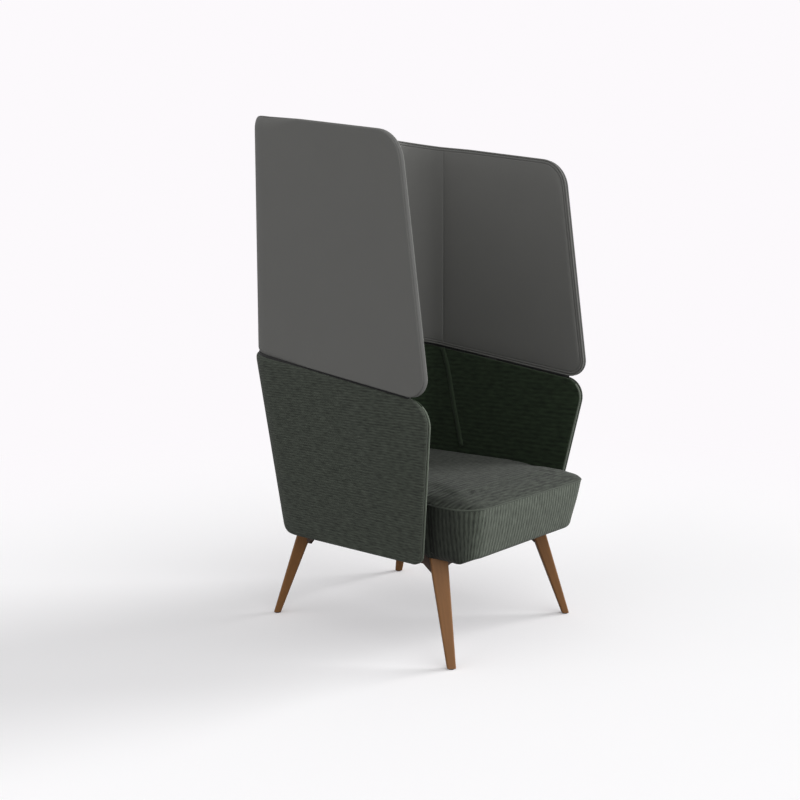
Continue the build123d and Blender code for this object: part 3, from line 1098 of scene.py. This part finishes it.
@dataclass(frozen=True)
class Screen:
    """The upper, upright wall: an outer cover rolled over the rim, a cord, and padded panels inside.

    The hem holds the steps of the panels' stitched border: how far each is deeper than the face and
    further in than the border's width. The fades are the columns over which a panel swells beside a
    seam and a front edge, and the share of the rise over which it does at its top and its foot.
    """

    finishes: Finishes
    wall: Wall = Wall(
        half_width=0.3743,
        back=0.357,
        base=0.7175,
        side_flare=0.0,
        back_flare=0.0,
        corner=0.120,
        thickness=0.018,
        front=Edge(-0.294, 0.7175, 8.12),
        low=Edge(0.0, JOINT_HEIGHT, -90.0 - JOINT_SLOPE),
        top=Edge(0.0, 1.3382, 90.0 - 10.8),
        low_radius=0.044,
        top_radius=0.096,
    )
    cover: float = 0.0012
    front_roll: Pair = (0.0036, 0.0036)
    side_low_roll: Pair = (0.003, 0.003)
    side_top_roll: Pair = (0.0055, 0.0055)
    rear_low_roll: Pair = (0.009, 0.013)
    rear_top_roll: Pair = (0.0138, 0.036)
    roll_end: float = 0.001
    rear_drop: float = 0.003
    edge_step: int = 6
    rim_rows: int = 20
    cord_radius: float = 0.0024
    cord_gap: float = 0.0005
    cord_proud: float = 0.0008
    cord_sides: int = 10
    border: float = 0.0125
    hem: tuple[Pair, ...] = (
        (0.0, 0.0), (-0.0014, -0.0008), (0.0, -0.0018),
        (0.0004, -0.004), (0.0, -0.0065), (-0.003, -0.0089),
    )
    face_gap: float = 0.0004
    puff: float = 0.0025
    seam_sink: float = 0.0016
    seam_column: float = 0.6
    seam_reach: float = 0.08
    seam_fade: float = 1.5
    front_fade: float = 5.0
    rise_fade: float = 1 / 14

    def build(self) -> None:
        """Makes and dresses the screen's pieces."""
        wall = self.wall
        depth = wall.thickness - self.cord_radius - self.cord_gap
        sides, rears = (self.side_low_roll, self.side_top_roll), (self.rear_low_roll, self.rear_top_roll)
        roll = Roll(wall, self.front_roll, *sides, *rears, depth - self.roll_end, self.rear_drop)
        bm = Covering(wall, roll, self.cover, edge_step=self.edge_step).build(lambda column, rise: 0.0)
        # painted shade: from the edge step on, the cover takes the darker cloth as it rolls over the rim
        cloths = [self.finishes.screen_cloth, self.finishes.screen_edge]
        replaced = ["screen_outer_cover", "screen_core"]
        make_piece(bm, "screen_outer", Slot.SCREEN_CLOTH, cloths, replaced)
        path = wall.rim_path(depth, self.cord_radius - self.cord_proud, self.rim_rows, self.rear_drop)
        bm = Piping(self.cord_radius, self.cord_sides).build(path, True)
        # painted highlight: the rim cord takes the lighter copy of the screen's cloth
        make_piece(bm, "screen_rim_cord", Slot.SCREEN_CLOTH, [self.finishes.screen_piping])
        self._inner()

    def _inner(self) -> None:
        """Makes the padded inside: three panels, with a stitched border along the rim."""
        wall = self.wall
        face = wall.thickness - self.face_gap
        end = 2 * wall.middle
        seams = (wall.side_end - self.seam_column, end - wall.side_end + self.seam_column)

        def padded_depth(column: float, rise: float) -> float:
            """Swells each panel between its seams and the border.

            Args:
                column: where round the wall.
                rise: where between its lower and its top edge.

            Returns:
                The panel's depth.
            """
            near = min(abs(column - seam) for seam in seams)
            sunk = self.seam_sink * math.exp(-((near / self.seam_reach) ** 2))
            across = min(1.0, near / self.seam_fade, min(column, end - column) / self.front_fade)
            upward = min(1.0, min(rise, 1 - rise) / self.rise_fade)
            return face + self.puff * math.sin(math.pi / 2 * across) * math.sin(math.pi / 2 * upward) - sunk

        def border(column: float, rise: float) -> list[Pair]:
            """Follows the rim's cord, which sits lower round the back's top edge.

            Args:
                column: where round the wall.
                rise: where between its lower and its top edge.

            Returns:
                The depths and insets, in order.
            """
            inset = self.border + self.rear_drop * wall.rear_share(column) * rise
            return [(face + deeper, inset + further) for deeper, further in self.hem]

        bm = Covering(wall, border, self.cover, seams).build(padded_depth)
        # painted light: the panels take the lighter copy of the screen's cloth
        cloths = [self.finishes.screen_lining]
        make_piece(bm, "screen_inner", Slot.SCREEN_CLOTH, cloths, ["screen_inner_pad"])


@dataclass(frozen=True)
class JointStrip:
    """A dark round strip that closes the gap between the tub and the screen."""

    finishes: Finishes
    radius: float = 0.0056
    depth: float = 0.010

    def build(self, tub: Tub, screen: Screen) -> None:
        """Makes the strip.

        Args:
            tub: the wall below it.
            screen: the wall above it.
        """
        first = tub.wall.curve_columns
        path = []
        for column in range(first, 2 * tub.wall.middle - first + 1):
            below = tub.wall.point(column, 1, self.depth, tub.rear_drop * tub.wall.rear_share(column))
            path.append(below.lerp(screen.wall.point(column, 0, self.depth, 0), 0.5))
        bm = Piping(self.radius).build(path, False)
        make_piece(bm, "joint_strip", Slot.DUST_CLOTH, [self.finishes.dust_cloth])


# ---- Seat ------------------------------------------------------------------------------------


@dataclass(frozen=True)
class Seat:
    """The seat cushion: a crowned top over a leaning band, with a cord in the seam between them.

    The fades are how far behind, above and below the band its full outline is lost again. The skirt
    is the cover's underside: how far it reaches in from the deck's side and front, the width of its
    edge at the sides, and the height over which it is lost.
    """

    finishes: Finishes
    seam_height: float = 0.405
    base_height: float = 0.273
    foam_base: float = 0.2803
    nose_front: float = -0.360
    base_front: float = -0.333
    nose_half: float = 0.2749
    base_half: float = 0.2570
    deck_half: float = 0.2310
    deck_front: float = -0.3047
    corner: float = 0.058
    corner_steps: int = 12
    deck_base: float = 0.2625
    nose_end: float = -0.225
    wall_start: float = -0.20
    cord_radius: float = 0.0024
    cord_proud: float = 0.0003
    hem_radius: float = 0.0014
    hem_lift: float = 0.006
    hem_proud: float = 0.001
    voxel: float = 0.0065
    shoulder: float = -0.19
    shoulder_reach: float = 0.09
    smoothing: int = 14
    cover: float = 0.0022
    fullness: float = 0.0045
    bulge: float = 0.0025
    fades: Triple = (0.02, 0.017, 0.012)
    skirt_aside: float = 0.026
    skirt_ahead: float = 0.024
    skirt_edge: float = 0.008
    skirt_fade: float = 0.03
    skirt_start: float = 0.6
    seam_held: float = 0.8
    base_held: float = 0.012
    pressure: float = 3.0
    frames: int = 20
    cap: float = 0.0025

    def build(self) -> None:
        """Makes and dresses the seat's pieces."""
        cushion = self._blank()
        self._inflate(cushion)
        bm = bmesh.new()
        bm.from_mesh(cushion.data)
        bpy.data.objects.remove(cushion)
        for face in bm.faces:
            face.material_index = 0 if self._on_top(face) else 1
        lay_weave(bm, self._cloth_place)
        # painted shade on the top and painted light on the band, the same cloth in both
        cloths = [self.finishes.seat_cloth, self.finishes.band_cloth]
        replaced = ["seat_foam", "seat_band_cover", "seat_top_cover"]
        make_piece(bm, "seat_cushion", Slot.TUB_CLOTH, cloths, replaced)
        self._cords()

    def _cords(self) -> None:
        """Makes the cord in the seam and the thin one along the band's lower edge."""
        proud = self.fullness + self.cord_proud - self.cord_radius
        seam = self._round_nose(self.nose_half + proud, self.nose_front - proud, self.seam_height)
        bm = Piping(self.cord_radius).build(seam, False)
        # painted highlight: the seam's cord and the hem take the lighter piping cloth
        make_piece(bm, "seat_piping", Slot.TUB_CLOTH, [self.finishes.piping], ["seat_seam_piping"])
        half, front = self._size_at(self.hem_lift / (self.seam_height - self.base_height))
        height, proud = self.base_height + self.hem_lift, self.hem_proud
        bm = Piping(self.hem_radius).build(self._round_nose(half + proud, front - proud, height), False)
        make_piece(bm, "seat_hem", Slot.TUB_CLOTH, [self.finishes.piping])

    def _on_top(self, face: Face) -> bool:
        """Whether a face belongs to the top panel."""
        return face.calc_center_median().z > self.seam_height

    def _blank(self) -> bpy.types.Object:
        """Makes the cushion before it swells: the foam's form, evenly meshed, in its cover.

        Returns:
            The blank.
        """
        bm = bmesh.new()
        bm.from_mesh(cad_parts["seat_foam"].data)
        bmesh.ops.remove_doubles(bm, verts=bm.verts, dist=1e-5)
        blank = link("cushion blank", store(bm, "cushion blank"))
        remesh = blank.modifiers.new("even mesh", "REMESH")
        remesh.mode = "VOXEL"
        remesh.voxel_size = self.voxel
        evaluated = blank.evaluated_get(bpy.context.evaluated_depsgraph_get())
        bm = bmesh.new()
        bm.from_mesh(evaluated.to_mesh())
        evaluated.to_mesh_clear()
        blank.modifiers.clear()
        bm.normal_update()
        for vert in bm.verts:
            vert.co += vert.normal * self.cover
            vert.co += self._to_outline(vert.co)
            vert.co.z -= self._skirt(vert.co)
        shoulders = [vert for vert in bm.verts if self._on_shoulder(vert.co)]
        every_way = {"use_axis_x": True, "use_axis_y": True, "use_axis_z": True}
        for _ in range(self.smoothing):
            bmesh.ops.smooth_vert(bm, verts=shoulders, factor=0.5, **every_way)
        bm.to_mesh(blank.data)
        bm.free()
        return blank

    def _on_shoulder(self, place: Vector) -> bool:
        """Whether a place is on the top panel, where the nose widens to the tub's inside."""
        near = abs(place.y - self.shoulder) < self.shoulder_reach
        return near and place.z > self.seam_height + self.voxel

    def _to_outline(self, place: Vector) -> Vector:
        """The move that brings the nose's sides out to a full, even band.

        Args:
            place: a point of the surface.

        Returns:
            The move, which is none away from the band.
        """
        over = place.z - self.seam_height
        under = place.z - self.base_height
        behind, above, below = self.fades
        near = min(1.0, (self.nose_end - place.y) / behind, 1 - over / above, under / below)
        if near <= 0:
            return Vector((0, 0, 0))
        share = min(1.0, under / (self.seam_height - self.base_height))
        half, front = self._size_at(share)
        beyond = self._beyond(place, half, front)
        if beyond.x > 0 and beyond.y > 0:
            out, gap = beyond.normalized(), self.corner - beyond.length
        elif beyond.x > beyond.y:
            out, gap = Vector((1, 0)), self.corner - beyond.x
        else:
            out, gap = Vector((0, 1)), self.corner - beyond.y
        if gap > 2 * self.voxel:
            return Vector((0, 0, 0))
        move = gap + self.fullness + self.bulge * math.sin(math.pi * share)
        return Vector((math.copysign(out.x, place.x), -out.y, 0)) * move * near

    def _size_at(self, share: float) -> Pair:
        """The nose's half width and front face, at a share of the way up its band."""
        half = self.base_half + (self.nose_half - self.base_half) * share
        return half, self.base_front + (self.nose_front - self.base_front) * share

    def _skirt(self, place: Vector) -> float:
        """How far the cover's underside hangs below the foam, round the deck's front part.

        Args:
            place: a point of the surface.

        Returns:
            The drop.
        """
        if place.y > self.wall_start:
            return 0.0
        aside, ahead = abs(place.x) - self.deck_half, self.deck_front - place.y
        inward = min(1.0, max(0.0, (self.skirt_aside - aside) / self.skirt_edge))
        inward = min(inward, max(0.0, 1 - ahead / self.skirt_ahead))
        fall = self.foam_base - self.base_height + (self.base_height - self.deck_base) * inward
        outside = min(1.0, max(0.0, max(aside, ahead) / (self.skirt_start * self.voxel)))
        low = min(1.0, max(0.0, 1 - (place.z - self.foam_base) / self.skirt_fade))
        return fall * outside * low

    def _held(self, place: Vector) -> bool:
        """Whether the cushion is sewn, or rests on something, at a place.

        Args:
            place: a point of the surface.

        Returns:
            Whether it can't swell there.
        """
        seam = abs(place.z - self.seam_height) < self.voxel * self.seam_held and place.y < self.wall_start
        beside = place.y > self.wall_start and place.z < self.seam_height + self.voxel
        return seam or beside or place.z < self.base_height + self.base_held

    def _inflate(self, cushion: bpy.types.Object) -> None:
        """Swells the cushion by cloth simulation and keeps each point within a cap.

        Args:
            cushion: the even blank, whose mesh is changed.
        """
        rest = [vert.co.copy() for vert in cushion.data.vertices]
        held = cushion.vertex_groups.new(name="held")
        held.add([index for index, place in enumerate(rest) if self._held(place)], 1.0, "REPLACE")
        cloth = cushion.modifiers.new("swell", "CLOTH")
        cloth.settings.use_pressure = True
        cloth.settings.uniform_pressure_force = self.pressure
        cloth.settings.vertex_group_mass = held.name
        cloth.settings.effector_weights.gravity = 0
        for number in range(1, self.frames + 1):
            bpy.context.scene.frame_set(number)
        evaluated = cushion.evaluated_get(bpy.context.evaluated_depsgraph_get())
        swollen = bpy.data.meshes.new_from_object(evaluated)
        cushion.modifiers.clear()
        bpy.context.scene.frame_set(1)
        for vert, start in zip(swollen.vertices, rest):
            move = vert.co - start
            if move.length > self.cap:
                vert.co = start + move * (self.cap / move.length)
        cushion.data = swollen

    def _cloth_place(self, face: Face, place: Vector) -> Pair:
        """Where a corner of a face lies on the cloth: the top's ribs run across, the band's upright.

        Args:
            face: the face.
            place: its corner.

        Returns:
            The corner's place across the ribs and along them.
        """
        if self._on_top(face):
            return (place.y + place.z, place.x)
        beyond = self._beyond(place, self.nose_half, self.nose_front)
        return (way_round(place.x, beyond, self.nose_half - self.corner, self.corner), place.z)

    def _beyond(self, place: Vector, half: float, front: float) -> Vector:
        """How far a place lies sideways and forwards of the middle of the nose's round corner."""
        return Vector((abs(place.x) - half + self.corner, front + self.corner - place.y))

    def _round_nose(self, half: float, front: float, height: float) -> list[Vector]:
        """A path round the cushion's nose.

        Args:
            half: the nose's half width.
            front: its front face's place.
            height: the path's height.

        Returns:
            Its points, from the left side round the front to the right side.
        """
        left = [Vector((half, self.nose_end, height))]
        for step in range(self.corner_steps + 1):
            turn = math.pi / 2 * step / self.corner_steps
            x = half - self.corner + self.corner * math.cos(turn)
            y = front + self.corner - self.corner * math.sin(turn)
            left.append(Vector((x, y, height)))
        right = [Vector((-point.x, point.y, point.z)) for point in reversed(left)]
        return left + right


# ---- Underframe ------------------------------------------------------------------------------


@dataclass(frozen=True)
class Underframe:
    """The wooden legs and rails, and what is fixed to them: CAD nodes with their finishes."""

    finishes: Finishes
    wood: Colour = (0.205, 0.093, 0.031)
    rail_wood: Colour = (0.085, 0.053, 0.040)
    splay_out: float = 9.9
    splay_forward: float = 17.1

    def dress(self) -> None:
        """Gives every node that stays its finish."""
        for end, forward in (("front", -1), ("rear", 1)):
            for side, out in (("left", 1), ("right", -1)):
                name = f"leg_{end}_{side}"
                lean = (
                    out * math.tan(math.radians(self.splay_out)),
                    forward * math.tan(math.radians(self.splay_forward)),
                    -1.0,
                )
                dress_node(name, Slot.LEG_WOOD, Timber(f"{name} timber", self.wood, lean).build())
        for name, grain in (
            ("side_rail_left", (0, 1, 0)),
            ("side_rail_right", (0, 1, 0)),
            ("front_rail", (1, 0, 0)),
            ("rear_rail", (1, 0, 0)),
        ):
            dress_node(name, Slot.LEG_WOOD, Timber(f"{name} timber", self.rail_wood, grain).build())
        for name, slot, material in (
            ("foot_glides", Slot.GLIDE, self.finishes.plastic),
            ("leg_screws", Slot.FIXING, self.finishes.plated),
            ("rail_screws", Slot.FIXING, self.finishes.plated),
            ("tub_screws", Slot.FIXING, self.finishes.plated),
            ("strap_screws", Slot.FIXING, self.finishes.plated),
            ("screen_strap_left", Slot.STRAP, self.finishes.steel),
            ("screen_strap_right", Slot.STRAP, self.finishes.steel),
            ("screen_strap_rear", Slot.STRAP, self.finishes.steel),
            # painted shade: the deck's plywood is dark for the shade under the cushion
            ("seat_deck", Slot.PLYWOOD, self.finishes.plywood),
            ("dust_cloth", Slot.DUST_CLOTH, self.finishes.dust_cloth),
        ):
            dress_node(name, slot, material)


def dress_node(name: str, slot: Slot, material: Material) -> None:
    """Gives a CAD node its finish.

    Args:
        name: the node's name.
        slot: the record's slot; not used.
        material: its material.
    """
    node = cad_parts[name]
    for place in range(len(node.data.materials)):
        node.data.materials[place] = material
    log.info("%s: dressed with %s", name, material.name)


# ---- Studio ----------------------------------------------------------------------------------


def stand_back(
    thing: bpy.types.Object, target: Vector, azimuth: float, elevation: float, distance: float
) -> None:
    """Places a light or a camera so that it faces a target.

    Args:
        thing: the light or camera.
        target: what it faces.
        azimuth: where it stands, in degrees from straight in front towards the sitter's left.
        elevation: how high it stands, in degrees above level.
        distance: how far off it stands.
    """
    azimuth, elevation = math.radians(azimuth), math.radians(elevation)
    level = math.cos(elevation)
    back = Vector((math.sin(azimuth) * level, -math.cos(azimuth) * level, math.sin(elevation)))
    thing.location = target + back * distance
    thing.rotation_euler = (-back).to_track_quat("-Z", "Y").to_euler()


@dataclass(frozen=True)
class SoftLight:
    """A broad light from far off.

    The azimuth is counted in degrees from straight in front towards the sitter's left, the level is
    what it adds to a white face turned to it, and the spread is how wide it looks, in degrees.
    """

    name: str
    azimuth: float
    elevation: float
    level: float
    spread: float
    distance: float = 4.0

    def build(self) -> None:
        """Adds the light to the scene."""
        data = bpy.data.lights.new(self.name, "SUN")
        data.energy = self.level * math.pi
        data.angle = math.radians(self.spread)
        stand_back(link(self.name, data), Vector(), self.azimuth, self.elevation, self.distance)


@dataclass(frozen=True)
class Studio:
    """A pale floor that runs out to white, soft lights, and the camera."""

    floor_half: float = 9.0
    floor_colour: Colour = (0.945, 0.94, 0.95)
    floor_bounce: float = 0.35
    backdrop: Colour = (0.973, 0.948, 0.973)
    fade_start: float = 1.3
    fade_end: float = 3.4
    shadow_lift: float = 0.16
    fill: float = 0.40
    lights: tuple[SoftLight, ...] = (
        SoftLight("key", 61.0, 20.0, 0.85, 28.0),
        SoftLight("front", -8.0, 30.0, 0.52, 80.0),
        SoftLight("side", -112.0, 24.0, 0.22, 60.0),
    )
    azimuth: float = -49.30
    elevation: float = 6.751
    distance: float = 2.7578
    target: Triple = (0.0, 0.100, 0.616)
    lens: float = 42.96

    def build(self) -> None:
        """Makes the floor, the world, the lights and the camera."""
        self._floor()
        self._world()
        for light in self.lights:
            light.build()
        self._camera()

    def _floor(self) -> None:
        """The floor, which fades to the backdrop's white away from the chair."""
        bm = bmesh.new()
        bmesh.ops.create_grid(bm, x_segments=1, y_segments=1, size=self.floor_half)
        floor = link("floor", store(bm, "floor"))
        nodes = Surface("pale floor")
        camera_ray = nodes.add("ShaderNodeLightPath").outputs["Is Camera Ray"]
        dull = shaded(self.floor_colour, self.floor_bounce)
        colour = nodes.ramp(camera_ray, dull, self.floor_colour)
        nodes.coat(colour, {"Roughness": 1.0, "Specular IOR Level": 0.0})
        away = nodes.add("ShaderNodeVectorMath", {0: nodes.place()}, operation="LENGTH").outputs["Value"]
        limits = {"From Min": self.fade_start, "From Max": self.fade_end, "To Min": self.shadow_lift}
        fade = nodes.add("ShaderNodeMapRange", {"Value": away, **limits}, interpolation_type="SMOOTHSTEP")
        seen = nodes.maths("MULTIPLY", fade.outputs["Result"], camera_ray)
        white = nodes.add("ShaderNodeEmission", {"Color": (*self.backdrop, 1), "Strength": 1.0})
        mix = nodes.add("ShaderNodeMixShader", {0: seen, 1: nodes.shader.outputs[0], 2: white.outputs[0]})
        nodes.feed(nodes.tree.nodes["Material Output"].inputs["Surface"], mix.outputs[0])
        floor.data.materials.append(nodes.material)

    def _world(self) -> None:
        """Even light from all round, which the camera sees as white."""
        world = bpy.data.worlds.new("studio")
        world.use_nodes = True
        bpy.context.scene.world = world
        nodes = NodeTree(world.node_tree)
        light = nodes.tree.nodes["Background"]
        nodes.feed(light.inputs["Color"], (1, 1, 1, 1))
        nodes.feed(light.inputs["Strength"], self.fill)
        white = nodes.add("ShaderNodeBackground", {"Color": (*self.backdrop, 1)})
        ray = nodes.add("ShaderNodeLightPath").outputs
        seen = nodes.maths("MAXIMUM", ray["Is Camera Ray"], ray["Is Glossy Ray"])
        mix = nodes.add("ShaderNodeMixShader", {0: seen, 1: light.outputs[0], 2: white.outputs[0]})
        nodes.feed(nodes.tree.nodes["World Output"].inputs["Surface"], mix.outputs[0])

    def _camera(self) -> None:
        """The camera, low in front of the chair and towards the sitter's right."""
        data = bpy.data.cameras.new("camera")
        data.lens = self.lens
        camera = link("camera", data)
        stand_back(camera, Vector(self.target), self.azimuth, self.elevation, self.distance)
        bpy.context.scene.camera = camera


def main() -> None:
    """Builds the chair in its studio."""
    logging.basicConfig(level=logging.INFO, format="%(name)s: %(message)s")
    bpy.context.scene.view_settings.view_transform = "Standard"
    finishes = Finishes.build()
    Underframe(finishes).dress()
    tub, screen = Tub(finishes), Screen(finishes)
    tub.build()
    screen.build()
    JointStrip(finishes).build(tub, screen)
    Seat(finishes).build()
    Studio().build()


if __name__ == "__main__":
    main()
